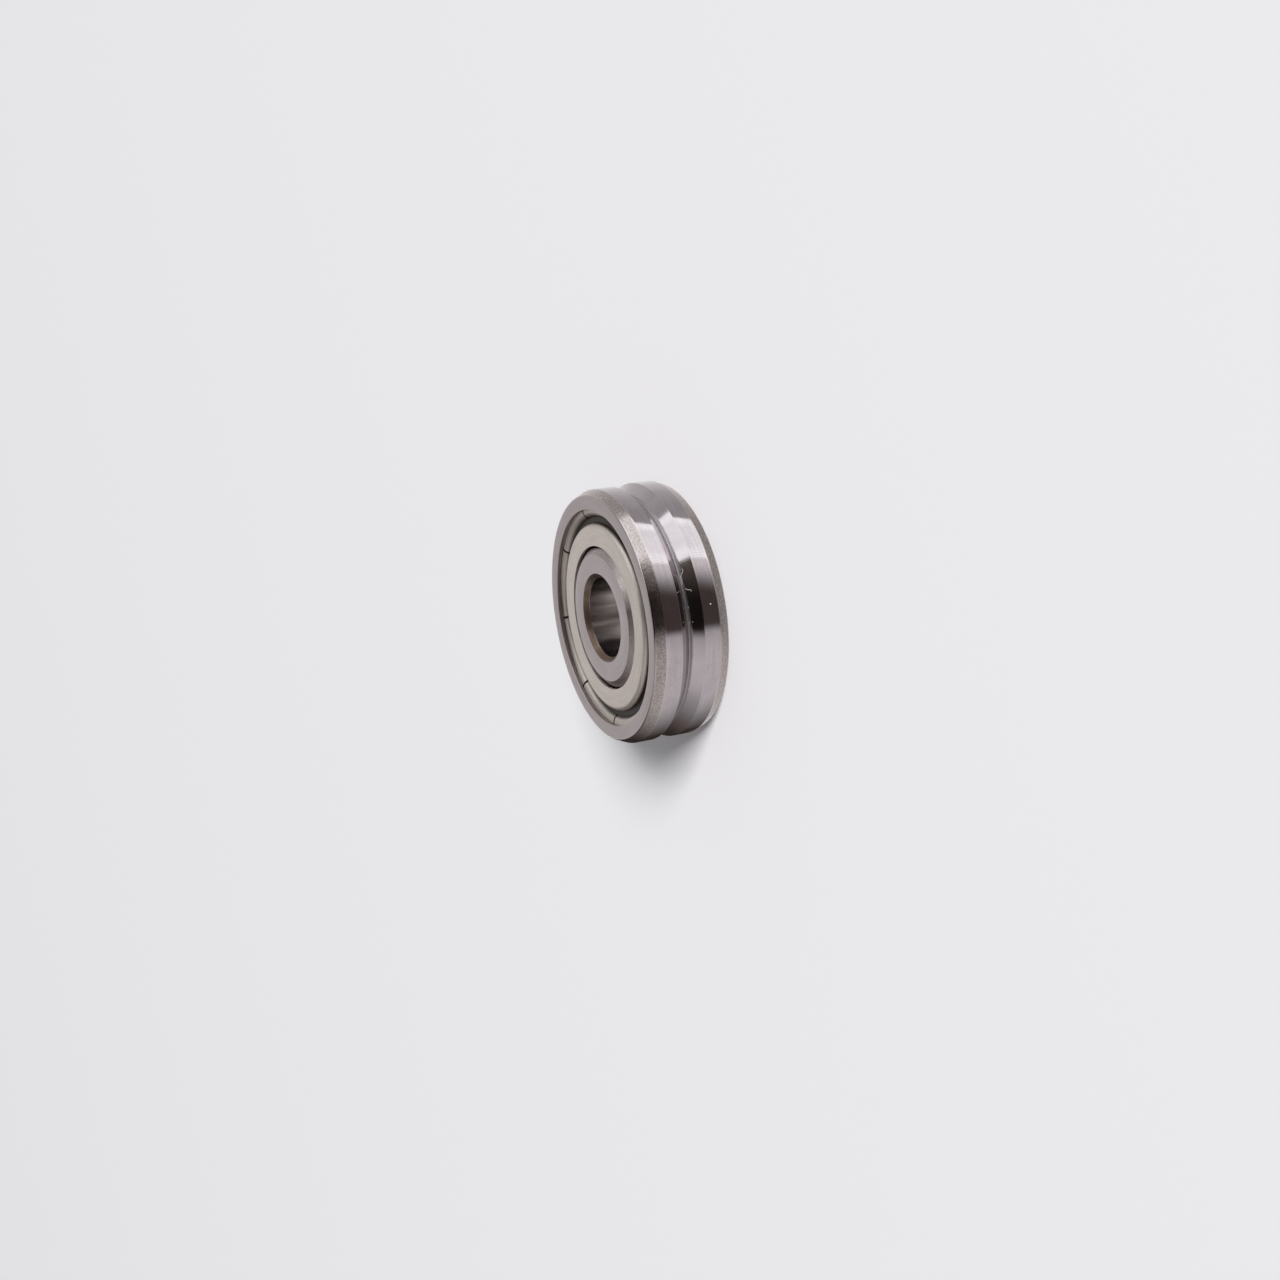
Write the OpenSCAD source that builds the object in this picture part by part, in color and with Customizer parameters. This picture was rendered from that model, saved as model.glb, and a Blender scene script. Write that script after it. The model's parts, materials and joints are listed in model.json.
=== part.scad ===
// V groove wheel: a shielded deep groove ball bearing whose outer ring is the wheel.
// It lies on its rear face. The origin is on the axis, half way through the width, and +Z points
// out of the front face. Lengths are in millimetres.

/* [Wheel] */
// Diameter of the two lands that the wheel runs on
outer_d = 16; // [14.4:0.1:20]
// Diameter of the bore
bore_d = 5; // [3:0.1:6]
// Width over both faces, the same on both rings
wheel_w = 5; // [4.5:0.1:7]

/* [V groove] */
// Width of the V groove where it opens on the lands
groove_open = 1.5; // [0.8:0.05:1.8]
// Angle between the two flanks of the V groove
groove_angle = 90; // [80:5:120]
// Radius at the bottom of the V groove
groove_root_r = 0.2; // [0.1:0.05:0.3]

/* [Outer ring] */
// Corner chamfer of the outer ring, measured along the axis
rim_chamfer_w = 0.67; // [0.3:0.01:0.9]
// Corner chamfer of the outer ring, measured towards the axis
rim_chamfer_h = 0.3; // [0.1:0.01:0.4]
// Radius that softens the edge between that chamfer and the face
rim_edge_r = 0.15; // [0.05:0.01:0.2]
// Wall between the lands and the shield recess
rim_wall = 1.19; // [1:0.01:1.3]
// Thickness of the lip that holds the shield's edge
lip_w = 0.22; // [0.15:0.01:0.26]
// How far the recess is undercut behind that lip
lip_reach = 0.1; // [0.06:0.01:0.14]

/* [Inner ring] */
// Chamfer at both ends of the bore
bore_chamfer = 0.3; // [0.1:0.05:0.5]
// Outer corner chamfer of the inner ring, measured along the axis
hub_chamfer_w = 0.3; // [0.1:0.05:0.5]
// Outer corner chamfer of the inner ring, measured towards the axis
hub_chamfer_h = 0.38; // [0.1:0.01:0.5]

/* [Balls and races] */
// Diameter of the balls
ball_d = 2.778; // [2.5:0.001:2.9]
// Number of balls
ball_count = 7; // [5:1:7]
// Radius of a race across the track, as a multiple of the balls' radius
race_ratio = 1.04; // [1.02:0.01:1.08]
// Height of the lands beside a race, above the bottom of the track
land_h = 0.53; // [0.45:0.01:0.55]
// Running play between a ball and each race
race_play = 0.02; // [0.015:0.005:0.03]

/* [Cage] */
// Thickness of the cage's sheet
cage_sheet = 0.2; // [0.1:0.01:0.24]
// Width of the cage's ribbon, from its inner to its outer edge
cage_w = 1.26; // [1.1:0.01:1.4]
// Play between a ball and its pocket
pocket_play = 0.06; // [0.03:0.01:0.1]

/* [Cage rivets] */
// Diameter of a rivet's shank
rivet_d = 0.4; // [0.2:0.05:0.5]
// Diameter of a rivet's head
rivet_head_d = 0.72; // [0.6:0.01:0.8]
// Height of a rivet's domed head
rivet_head_h = 0.16; // [0.1:0.01:0.24]
// Play between a rivet's shank and its hole
rivet_play = 0.015; // [0.01:0.005:0.03]

/* [Shields] */
// Thickness of the shields' sheet
shield_sheet = 0.2; // [0.14:0.01:0.22]
// Depth of the shield's flat under the rings' faces
flat_depth = 0.13; // [0.05:0.01:0.2]
// Gap between the shield's inner edge and the inner ring
shield_gap = 0.14; // [0.08:0.01:0.25]
// Radius of the shoulder round the shield's flat, on its outside
shoulder_r = 0.3; // [0.25:0.01:0.36]
// Clearance between the tops of the cage and the underside of the trough
cage_clearance = 0.04; // [0.03:0.01:0.15]
// Width of the trough's floor, from the shoulder's foot to the rim
floor_w = 0.36; // [0.3:0.01:0.42]
// How far that floor reaches over its seat in the outer ring
seat_overlap = 0.13; // [0.1:0.01:0.2]
// Inside radius of the sheet's bends in the trough and the rim
bend_r = 0.08; // [0.04:0.01:0.1]
// Share of the rim's width at which it bends from its climb into its crimped edge
crest_in = 0.384; // [0.3:0.001:0.5]
// Share of the rim's height that it has climbed at that bend
crest_up = 0.777; // [0.7:0.001:0.9]
// Play between the crimped edge and the undercut that holds it
edge_play = 0.02; // [0.01:0.005:0.03]
// Number of slits in the rim
slit_count = 9; // [6:1:12]
// Width of a slit
slit_w = 0.12; // [0.08:0.01:0.25]
// Distance from the trough's floor to the inner end of a slit
slit_start = 0.05; // [0.02:0.01:0.15]

/* [Hidden] */
// Every round shape below is a true circle, so this only sets how finely it is shown
$fn = 96;

ring_steel = [0.60, 0.58, 0.60];
ball_steel = [0.82, 0.82, 0.84];
cage_steel = [0.66, 0.64, 0.60];
rivet_steel = [0.56, 0.56, 0.58];
shield_steel = [0.76, 0.74, 0.69];

// How far a cutting shape runs past the surface that it cuts
past = 1;

half_w = wheel_w / 2;
outer_r = outer_d / 2;
bore_r = bore_d / 2;
ball_r = ball_d / 2;
// The balls run midway between the bore and the lands
pitch_r = (outer_r + bore_r) / 2;
ball_step = 360 / ball_count;

// Bottom of each race, and the land on each side of it
race_r = ball_r * race_ratio;
inner_track_r = pitch_r - ball_r - race_play;
outer_track_r = pitch_r + ball_r + race_play;
inner_land_r = inner_track_r + land_h;
outer_land_r = outer_track_r - land_h;

// Cage
pocket_r = ball_r + pocket_play;
cage_top_z = pocket_r + cage_sheet;
cage_inner_r = pitch_r - cage_w / 2;
rivet_hole_r = rivet_d / 2 + rivet_play;

// Recess of the outer ring: its wall, its undercut, the seat at its bottom and the lip's underside
recess_r = outer_r - rim_wall;
undercut_r = recess_r + lip_reach;
seat_z = cage_top_z + cage_clearance;
lip_z = half_w - lip_w;

// Shield: the upper side of its flat, its shoulder, the foot of its rim and its crimped edge
shield_inner_r = inner_land_r + shield_gap;
flat_z = half_w - flat_depth;
floor_z = seat_z + shield_sheet;
foot = [outer_land_r + seat_overlap, floor_z];
edge = [undercut_r - edge_play, lip_z - edge_play];
crest = foot + [crest_in * (edge.x - foot.x), crest_up * (edge.y - foot.y)];
shoulder_x = foot.x - floor_w;
// The two bends of the trough's wall share its height where that is small
wall_h = flat_z - floor_z;
trough_bend_r = min(bend_r, (wall_h - shield_sheet) / 2);
shoulder_bend_r = min(shoulder_r, wall_h - trough_bend_r);

// ---- Sections: x is the distance from the wheel's axis, y is the height along it ----

function flat(p) = [p.x, p.y];
function unit(v) = v / norm(v);

// A closed outline of corners [x, y, r], anticlockwise, each rounded to its own radius r by a true
// arc, or left sharp where r is 0
module outline(corners) {
    n = len(corners);
    function way(i) = unit(flat(corners[(i + 1) % n]) - flat(corners[(i + n) % n]));
    function bulges(i) = cross(way(i + n - 1), way(i)) > 0;
    function run(i) = corners[i].z * tan(acos(way(i + n - 1) * way(i)) / 2);
    function arc_start(i) = flat(corners[i]) - run(i) * way(i + n - 1);
    function arc_end(i) = flat(corners[i]) + run(i) * way(i);
    function centre(i) = arc_start(i)
        + (bulges(i) ? 1 : -1) * corners[i].z * [-way(i + n - 1).y, way(i + n - 1).x];
    difference() {
        union() {
            polygon([for (i = [0 : n - 1])
                each corners[i].z > 0 ? [arc_start(i), arc_end(i)] : [flat(corners[i])]]);
            for (i = [0 : n - 1])
                if (corners[i].z > 0 && bulges(i))
                    intersection() {
                        translate(centre(i)) circle(r = corners[i].z);
                        // The sector between the centre and a point beyond the corner
                        polygon([for (p = [centre(i), arc_start(i), flat(corners[i]), arc_end(i)])
                            2 * p - centre(i)]);
                    }
        }
        for (i = [0 : n - 1])
            if (corners[i].z > 0 && !bulges(i))
                translate(centre(i)) circle(r = corners[i].z);
    }
}

// The same shape on both sides of the wheel's middle
module both_sides() {
    children();
    mirror([0, 1]) children();
}

// A track for the balls: offset is how far its centre lies outside the pitch circle
module race(offset) {
    translate([pitch_r + offset, 0]) circle(r = race_r);
}

// What the V groove removes: straight flanks, and a round bottom that they run into
module v_groove() {
    half_angle = groove_angle / 2;
    sharp_depth = groove_open / 2 / tan(half_angle);
    root_x = outer_r - sharp_depth + groove_root_r / sin(half_angle);
    flank_x = root_x - groove_root_r * sin(half_angle);
    flank_y = groove_root_r * cos(half_angle);
    mouth_y = groove_open / 2 + past * tan(half_angle);
    polygon([
        [flank_x, -flank_y], [outer_r + past, -mouth_y], [outer_r + past, mouth_y], [flank_x, flank_y]]);
    translate([root_x, 0]) circle(r = groove_root_r);
}

// What the shield recess removes on the front side, with the undercut behind its lip
module shield_recess() {
    polygon([
        [outer_land_r - past, seat_z],
        [undercut_r, seat_z],
        [undercut_r, lip_z],
        [recess_r, lip_z],
        [recess_r, half_w + past],
        [outer_land_r - past, half_w + past]]);
}

// ---- Rings ----

module outer_ring() {
    face_r = outer_r - rim_chamfer_h;
    land_z = half_w - rim_chamfer_w;
    color(ring_steel)
        rotate_extrude()
            difference() {
                outline([
                    [outer_land_r, -half_w, 0],
                    [face_r, -half_w, rim_edge_r],
                    [outer_r, -land_z, 0],
                    [outer_r, land_z, 0],
                    [face_r, half_w, rim_edge_r],
                    [outer_land_r, half_w, 0]]);
                v_groove();
                race(race_play + ball_r - race_r);
                both_sides() shield_recess();
            }
}

module inner_ring() {
    hub_r = inner_land_r - hub_chamfer_h;
    land_z = half_w - hub_chamfer_w;
    chamfer_z = half_w - bore_chamfer;
    color(ring_steel)
        rotate_extrude()
            difference() {
                polygon([
                    [bore_r, -chamfer_z], [bore_r + bore_chamfer, -half_w],
                    [hub_r, -half_w], [inner_land_r, -land_z],
                    [inner_land_r, land_z], [hub_r, half_w],
                    [bore_r + bore_chamfer, half_w], [bore_r, chamfer_z]]);
                race(race_r - ball_r - race_play);
            }
}

// ---- Balls ----

// Puts its child on the pitch circle, at ball place i or, with a half added, between two balls
module at_place(i) {
    rotate((i - 1) * ball_step) translate([pitch_r, 0, 0]) children();
}

module ball(i) {
    color(ball_steel) at_place(i) sphere(r = ball_r);
}

// ---- Cage ----

// Everything inside the ribbon's two edges, from z = 0 up to the height h
module ribbon_band(h) {
    rotate_extrude() translate([cage_inner_r, 0]) square([cage_w, h]);
}

// One pressed half: flat webs, and a round dome over each ball that the webs run into
module cage_half() {
    cut_h = 2 * cage_sheet + past;
    color(cage_steel)
        difference() {
            union() {
                difference() {
                    ribbon_band(cage_sheet);
                    for (i = [1 : ball_count])
                        at_place(i) cylinder(r = pocket_r + cage_sheet / 2, h = cut_h, center = true);
                }
                intersection() {
                    ribbon_band(cage_top_z + past);
                    for (i = [1 : ball_count])
                        at_place(i) difference() {
                            sphere(r = cage_top_z);
                            sphere(r = pocket_r);
                        }
                }
            }
            for (i = [1 : ball_count])
                at_place(i + 0.5) cylinder(r = rivet_hole_r, h = cut_h, center = true);
        }
}

module cage_front() {
    cage_half();
}

module cage_rear() {
    mirror([0, 0, 1]) cage_half();
}

// A domed head that stands on z = 0
module rivet_head() {
    head_r = rivet_head_d / 2;
    dome_r = (head_r ^ 2 + rivet_head_h ^ 2) / 2 / rivet_head_h;
    intersection() {
        translate([0, 0, rivet_head_h - dome_r]) sphere(r = dome_r);
        cylinder(r = head_r + past, h = rivet_head_h + past);
    }
}

module cage_rivets() {
    color(rivet_steel)
        for (i = [1 : ball_count])
            at_place(i + 0.5) {
                cylinder(d = rivet_d, h = 2 * cage_sheet, center = true);
                translate([0, 0, cage_sheet]) rivet_head();
                mirror([0, 0, 1]) translate([0, 0, cage_sheet]) rivet_head();
            }
}

// ---- Shields ----

// The corner of the sheet's lower side that lies across from p on its upper side, where the
// sheet turns from angle a0 to angle a1
function under(p, a0, a1) = let (middle = (a0 + a1) / 2)
    p + shield_sheet / cos((a1 - a0) / 2) * [sin(middle), -cos(middle)];

// The pressed sheet's section: flat, shoulder, trough on the seat, and the rim that climbs out of
// it and is crimped under the outer ring's lip
module shield_section() {
    t = shield_sheet;
    rise_angle = atan2(crest.y - foot.y, crest.x - foot.x);
    edge_angle = atan2(edge.y - crest.y, edge.x - crest.x);
    foot_under = under(foot, 0, rise_angle);
    crest_under = under(crest, rise_angle, edge_angle);
    outline([
        [shield_inner_r, flat_z - t, 0],
        [shoulder_x - t, flat_z - t, shoulder_bend_r - t],
        [shoulder_x - t, seat_z, trough_bend_r + t],
        [foot_under.x, foot_under.y, bend_r + t],
        [crest_under.x, crest_under.y, bend_r],
        [edge.x, edge.y - t / cos(edge_angle), 0],
        [edge.x, edge.y, 0],
        [crest.x, crest.y, bend_r + t],
        [foot.x, foot.y, bend_r],
        [shoulder_x, floor_z, trough_bend_r],
        [shoulder_x, flat_z, shoulder_bend_r],
        [shield_inner_r, flat_z, 0]]);
}

module shield() {
    slit_x = foot.x + slit_start;
    color(shield_steel)
        difference() {
            rotate_extrude() shield_section();
            for (i = [0 : slit_count - 1])
                rotate(i * 360 / slit_count)
                    translate([slit_x, -slit_w / 2, seat_z - past])
                        cube([edge.x - slit_x + past, slit_w, half_w - seat_z + 2 * past]);
        }
}

module shield_front() {
    shield();
}

module shield_rear() {
    mirror([0, 0, 1]) shield();
}

outer_ring();
inner_ring();
for (i = [1 : ball_count])
    ball(i);
cage_front();
cage_rear();
cage_rivets();
shield_front();
shield_rear();
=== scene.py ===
"""V groove wheel: the finished looks of a shielded ball bearing whose outer ring is the wheel.

Every length is in metres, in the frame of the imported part: the wheel's axis is Z, it lies on its
rear face, and the origin is in its middle.
"""

import json
import math
from functools import partial

import bmesh
import bpy
from bpy.props import FloatProperty, FloatVectorProperty, IntProperty, PointerProperty
from mathutils import Matrix, Quaternion, Vector


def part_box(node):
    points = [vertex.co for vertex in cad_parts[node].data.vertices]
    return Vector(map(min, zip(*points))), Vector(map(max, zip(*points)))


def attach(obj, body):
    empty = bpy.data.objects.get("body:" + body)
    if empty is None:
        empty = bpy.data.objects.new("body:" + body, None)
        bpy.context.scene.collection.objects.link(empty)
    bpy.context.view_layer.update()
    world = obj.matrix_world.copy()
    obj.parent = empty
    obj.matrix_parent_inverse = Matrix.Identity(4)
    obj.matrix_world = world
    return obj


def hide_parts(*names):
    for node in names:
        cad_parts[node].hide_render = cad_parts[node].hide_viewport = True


bl_info = {
    "name": "V groove wheel",
    "version": (1, 0, 0),
    "blender": (4, 5, 0),
    "location": "View3D > Sidebar > Wheel",
    "description": "Dresses the packed V groove wheel in ground and pressed steel",
    "category": "Object",
}

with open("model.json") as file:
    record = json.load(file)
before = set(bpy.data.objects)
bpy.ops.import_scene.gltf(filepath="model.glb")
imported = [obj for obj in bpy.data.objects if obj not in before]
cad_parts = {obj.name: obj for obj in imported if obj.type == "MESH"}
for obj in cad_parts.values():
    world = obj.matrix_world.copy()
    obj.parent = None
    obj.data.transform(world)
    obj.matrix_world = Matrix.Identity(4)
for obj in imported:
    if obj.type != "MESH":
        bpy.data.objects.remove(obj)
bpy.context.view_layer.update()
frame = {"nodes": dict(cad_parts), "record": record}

MM = 0.001

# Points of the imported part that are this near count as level
LEVEL = 0.001 * MM


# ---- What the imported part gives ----


def least_radius(node):
    """Distance from the wheel's axis to the nearest point of a CAD node."""
    return min(math.hypot(v.co.x, v.co.y) for v in frame["nodes"][node].data.vertices)


def top_of(node):
    """Height of a CAD node's highest point."""
    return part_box(node)[1].z


def greatest_radius(node):
    """Radius of a round CAD node, from its box."""
    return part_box(node)[1].x


OUTER_R = greatest_radius("outer_ring")
HALF_W = top_of("outer_ring")
OUTER_LAND_R = least_radius("outer_ring")
INNER_LAND_R = greatest_radius("inner_ring")
BORE_R = next(m["dims"]["r_mm"] for m in frame["record"]["mounts"] if m["kind"] == "bore") * MM
BALL_R = top_of("ball_1")
PITCH_R = (OUTER_R + BORE_R) / 2
SHIELD_INNER_R = least_radius("shield_front")
SHIELD_EDGE_R = greatest_radius("shield_front")
SHIELD_TOP = top_of("shield_front")
SHIELD_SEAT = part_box("shield_front")[0].z
SHIELD_EDGE_Z = max(
    v.co.z
    for v in frame["nodes"]["shield_front"].data.vertices
    if math.hypot(v.co.x, v.co.y) > SHIELD_EDGE_R - LEVEL
)

# In the wheel's plane, the turns from X to the near side and to the top of the picture
NEAR_TURN = math.radians(-99.7)
UP_TURN = NEAR_TURN + math.pi / 2


def wheel_way(turn):
    """A direction in the wheel's plane."""
    return Vector((math.cos(turn), math.sin(turn), 0.0))


# ---- Sizes and colours that a user would change ----


def typed(make, **fixed):
    """A kind of property that takes a name, a description and a default."""
    return lambda name, description, default: make(
        name=name, description=description, default=default, **fixed
    )


def angle(name, description, degrees):
    """An angle, kept in radians."""
    return typed(FloatProperty, subtype="ANGLE")(name, description, math.radians(degrees))


length = typed(FloatProperty, min=0.0, unit="LENGTH", precision=6)
colour = typed(FloatVectorProperty, min=0.0, max=1.0, subtype="COLOR")
share = typed(FloatProperty, min=0.0, max=1.0, subtype="FACTOR")
number = typed(FloatProperty)
count = typed(IntProperty, min=3)


class RingSizes(bpy.types.PropertyGroup):
    """Sizes of the two turned rings."""

    groove_open: length("Groove width", "Width of the V groove at the lands", 1.5 * MM)
    groove_angle: angle("Groove angle", "Angle between the groove's flanks", 90)
    groove_root_r: length("Groove root", "Radius at the bottom of the groove", 0.12 * MM)
    rim_chamfer_w: length("Rim chamfer width", "Corner chamfer along the axis", 0.67 * MM)
    rim_chamfer_h: length("Rim chamfer height", "Corner chamfer towards the axis", 0.3 * MM)
    rim_edge_r: length("Rim edge", "Radius between the chamfer and the face", 0.15 * MM)
    land_edge_r: length("Land edge", "Radius between a land and its chamfer", 0.25 * MM)
    rim_wall: length("Rim wall", "Wall from the lands to the shield recess", 1.19 * MM)
    lip_w: length("Lip", "Thickness of the lip over the shield's edge", 0.22 * MM)
    lip_reach: length("Undercut", "Depth of the undercut behind the lip", 0.1 * MM)
    bore_chamfer: length("Bore chamfer", "Chamfer at both ends of the bore", 0.3 * MM)
    hub_chamfer_w: length("Hub chamfer width", "Inner ring's corner along the axis", 0.3 * MM)
    hub_chamfer_h: length("Hub chamfer height", "Inner ring's corner towards the axis", 0.38 * MM)
    race_ratio: number("Race ratio", "Race radius over the balls' radius", 1.04)
    race_play: length("Race play", "Play between a ball and a race", 0.02 * MM)
    edge_break: length("Edge break", "Radius that breaks the ground edges", 0.02 * MM)
    steps_round: count("Steps round", "Faces round the axis", 360)


class ShieldSizes(bpy.types.PropertyGroup):
    """Sizes of the two pressed shields."""

    sheet: length("Sheet", "Thickness of the sheet", 0.2 * MM)
    shoulder_r: length("Shoulder", "Outside radius of the flat's shoulder", 0.3 * MM)
    floor_w: length("Trough floor", "Width of the trough's floor", 0.36 * MM)
    seat_overlap: length("Seat overlap", "How far the floor reaches over its seat", 0.13 * MM)
    bend_r: length("Bend", "Inside radius of the sheet's bends", 0.08 * MM)
    crest_in: share("Crest place", "Share of the rim's width before its bend", 0.384)
    crest_up: share("Crest height", "Share of the rim's height before its bend", 0.777)
    slit_count: count("Slits", "Number of slits in the rim", 9)
    slit_w: length("Slit width", "Width of a slit", 0.15 * MM)
    slit_start: length("Slit start", "From the trough's floor to a slit's inner end", 0.05 * MM)
    steps_in_lobe: count("Steps in a lobe", "Faces round one lobe of the rim", 32)


class SteelColours(bpy.types.PropertyGroup):
    """Colours of the steels."""

    ground: colour("Ground steel", "Lands, flanks and faces of the rings", (0.50, 0.445, 0.465))
    flank: colour("Groove flank", "Ground flanks of the groove", (0.55, 0.49, 0.508))
    hub: colour("Hub face", "Fine ground faces of the inner ring", (0.57, 0.50, 0.505))
    chamfer: colour("Tumbled chamfer", "Grey of the coarse chamfers", (0.455, 0.395, 0.382))
    face: colour("Face", "Faces of the outer ring, and worn edges", (0.54, 0.465, 0.47))
    shield: colour("Pressed sheet", "Warm grey of the shields", (0.88, 0.79, 0.735))
    # The bore's colour is the brightest band of its painted reflections
    bore: colour("Bore steel", "The ground bore", (0.98, 0.90, 0.875))
    bore_chamfer: colour("Bore chamfer", "Chamfers of the bore", (0.26, 0.22, 0.205))
    ball: colour("Polished ball", "Steel of the balls", (0.70, 0.69, 0.70))
    cage: colour("Cage sheet", "Steel of the riveted cage", (0.52, 0.49, 0.46))
    lint: colour("Lint", "Fibres and specks on the groove", (0.50, 0.50, 0.51))


class LintSettings(bpy.types.PropertyGroup):
    """Sizes of the fibres and specks that lie on the groove."""

    thickness: length("Thickness", "Thickness of a fibre", 0.022 * MM)
    lift: length("Lift", "Height of a fibre over the steel", 0.03 * MM)


class StudioSettings(bpy.types.PropertyGroup):
    """Camera, floor and light."""

    azimuth: angle("Azimuth", "The camera's place round the wheel's axis", -6.26)
    elevation: angle("Elevation", "The camera's height over the wheel's plane", 23.30)
    roll: angle("Roll", "Turn that stands the wheel upright in the picture", -99.87)
    distance: length("Distance", "From the camera to the wheel's middle", 221.9 * MM)
    lens: number("Lens", "Focal length in millimetres", 100.0)
    aim_down: angle("Aim down", "How far it looks below the wheel's middle", 0.456)
    aim_right: angle("Aim right", "How far it looks to the middle's right", 0.029)
    floor_w: length("Floor", "Width of the floor", 3.0)
    floor_colour: colour("Floor colour", "Pale floor", (0.765, 0.755, 0.775))
    sky: number("Sky", "Soft light from all round", 0.32)
    lamp: number("Lamp", "Strength of the large soft lamp", 0.78)


class WheelSettings(bpy.types.PropertyGroup):
    """All the settings of the wheel."""

    ring: PointerProperty(type=RingSizes)
    shield: PointerProperty(type=ShieldSizes)
    steel: PointerProperty(type=SteelColours)
    lint: PointerProperty(type=LintSettings)
    studio: PointerProperty(type=StudioSettings)


def settings():
    """The settings kept in the scene."""
    return bpy.context.scene.groove_wheel


# ---- Sections: r is the distance from the axis, z is the height along it ----

# The most that a rounded corner turns from point to point
ARC_STEP = math.radians(10)
RACE_STEPS = 14


def rounded(corners):
    """Points (r, z, finish) along corners (r, z, radius, finish), each rounded to its own radius.

    A corner's finish is that of the wall after it, and a rounded corner between two finishes is an
    edge.
    """
    points = []
    for i, (r, z, radius, finish) in enumerate(corners):
        if radius == 0:
            points.append((r, z, finish))
            continue
        here = Vector((r, z))
        before = (here - Vector(corners[i - 1][:2])).normalized()
        after = (Vector(corners[(i + 1) % len(corners)][:2]) - here).normalized()
        turn = math.atan2(before.x * after.y - before.y * after.x, before.dot(after))
        start = here - before * radius * math.tan(abs(turn) / 2)
        side = math.copysign(radius, turn)
        centre = start + Vector((-before.y, before.x)) * side
        arc = finish if corners[i - 1][3] == finish else "edge"
        steps = max(2, round(abs(turn) / ARC_STEP))
        for k in range(steps + 1):
            spoke = Matrix.Rotation(turn * k / steps, 2) @ (start - centre)
            points.append((*(centre + spoke), finish if k == steps else arc))
    return points


def mirrored(corners):
    """The same corners on the rear side, in the order that keeps the section anticlockwise."""
    walls = zip(corners, corners[1:])
    return [(r, -z, radius, wall) for (*_, wall), (r, z, radius, _) in walls][::-1]


def race(track_r, land_r, race_r):
    """Half a race, from its land down to its bottom at z = 0."""
    away = math.copysign(race_r, track_r - land_r)
    centre = track_r - away
    end = math.acos((land_r - centre) / away)
    turns = [end * (1 - k / RACE_STEPS) for k in range(RACE_STEPS + 1)]
    return [(centre + away * math.cos(t), race_r * math.sin(t), 0, "race") for t in turns]


def outer_ring_section(sizes):
    """The outer ring: V groove, lands, chamfers, faces, undercut shield recesses and race."""
    recess_r = OUTER_R - sizes.rim_wall
    undercut_r = recess_r + sizes.lip_reach
    lip_z = HALF_W - sizes.lip_w
    groove_depth = sizes.groove_open / 2 / math.tan(sizes.groove_angle / 2)
    track_r = PITCH_R + BALL_R + sizes.race_play
    half = [
        (OUTER_R - groove_depth, 0, sizes.groove_root_r, "flank"),
        (OUTER_R, sizes.groove_open / 2, sizes.edge_break, "land"),
        (OUTER_R, HALF_W - sizes.rim_chamfer_w, sizes.land_edge_r, "chamfer"),
        (OUTER_R - sizes.rim_chamfer_h, HALF_W, sizes.rim_edge_r, "face"),
        (recess_r, HALF_W, sizes.edge_break, "recess"),
        (recess_r, lip_z, 0, "recess"),
        (undercut_r, lip_z, 0, "recess"),
        (undercut_r, SHIELD_SEAT, 0, "recess"),
        (OUTER_LAND_R, SHIELD_SEAT, sizes.edge_break, "race"),
        *race(track_r, OUTER_LAND_R, BALL_R * sizes.race_ratio),
    ]
    return rounded(half + mirrored(half)[1:])


def inner_ring_section(sizes):
    """The inner ring: race, lands, chamfers, faces and bore."""
    track_r = PITCH_R - BALL_R - sizes.race_play
    chamfer_z = HALF_W - sizes.bore_chamfer
    half = [
        *race(track_r, INNER_LAND_R, BALL_R * sizes.race_ratio)[::-1],
        (INNER_LAND_R, HALF_W - sizes.hub_chamfer_w, sizes.edge_break, "hub_chamfer"),
        (INNER_LAND_R - sizes.hub_chamfer_h, HALF_W, sizes.edge_break, "hub"),
        (BORE_R + sizes.bore_chamfer, HALF_W, sizes.edge_break, "bore_chamfer"),
        (BORE_R, chamfer_z, sizes.edge_break, "bore"),
    ]
    return rounded(half + mirrored(half))


def across(sheet, corner, angle_in, angle_out):
    """The corner of a sheet's lower side that lies across from one on its upper side."""
    middle = (angle_in + angle_out) / 2
    reach = sheet / math.cos((angle_out - angle_in) / 2)
    return corner + reach * Vector((math.sin(middle), -math.cos(middle)))


def shield_sides(sizes):
    """The upper and the lower side of a shield's sheet, each from the bore outwards."""
    t = sizes.sheet
    recess_foot = Vector((OUTER_LAND_R + sizes.seat_overlap, SHIELD_SEAT + t))
    edge = Vector((SHIELD_EDGE_R, SHIELD_EDGE_Z))
    span = edge - recess_foot
    crest = recess_foot + Vector((sizes.crest_in * span.x, sizes.crest_up * span.y))
    rise = math.atan2(crest.y - recess_foot.y, crest.x - recess_foot.x)
    fall = math.atan2(edge.y - crest.y, edge.x - crest.x)
    foot_under = across(t, recess_foot, 0, rise)
    crest_under = across(t, crest, rise, fall)
    shoulder_x = recess_foot.x - sizes.floor_w
    wall = SHIELD_TOP - recess_foot.y
    trough_r = min(sizes.bend_r, (wall - t) / 2)
    shoulder_r = min(sizes.shoulder_r, wall - trough_r)
    upper = [
        (SHIELD_INNER_R, SHIELD_TOP, 0, ""),
        (shoulder_x, SHIELD_TOP, shoulder_r, ""),
        (shoulder_x, recess_foot.y, trough_r, ""),
        (*recess_foot, sizes.bend_r, ""),
        (*crest, sizes.bend_r + t, ""),
        (*edge, 0, ""),
    ]
    lower = [
        (SHIELD_INNER_R, SHIELD_TOP - t, 0, ""),
        (shoulder_x - t, SHIELD_TOP - t, shoulder_r - t, ""),
        (shoulder_x - t, SHIELD_SEAT, trough_r + t, ""),
        (*foot_under, sizes.bend_r + t, ""),
        (*crest_under, sizes.bend_r, ""),
        (edge.x, edge.y - t / math.cos(fall), 0, ""),
    ]
    return rounded(upper), rounded(lower)


# ---- Node trees ----


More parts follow.
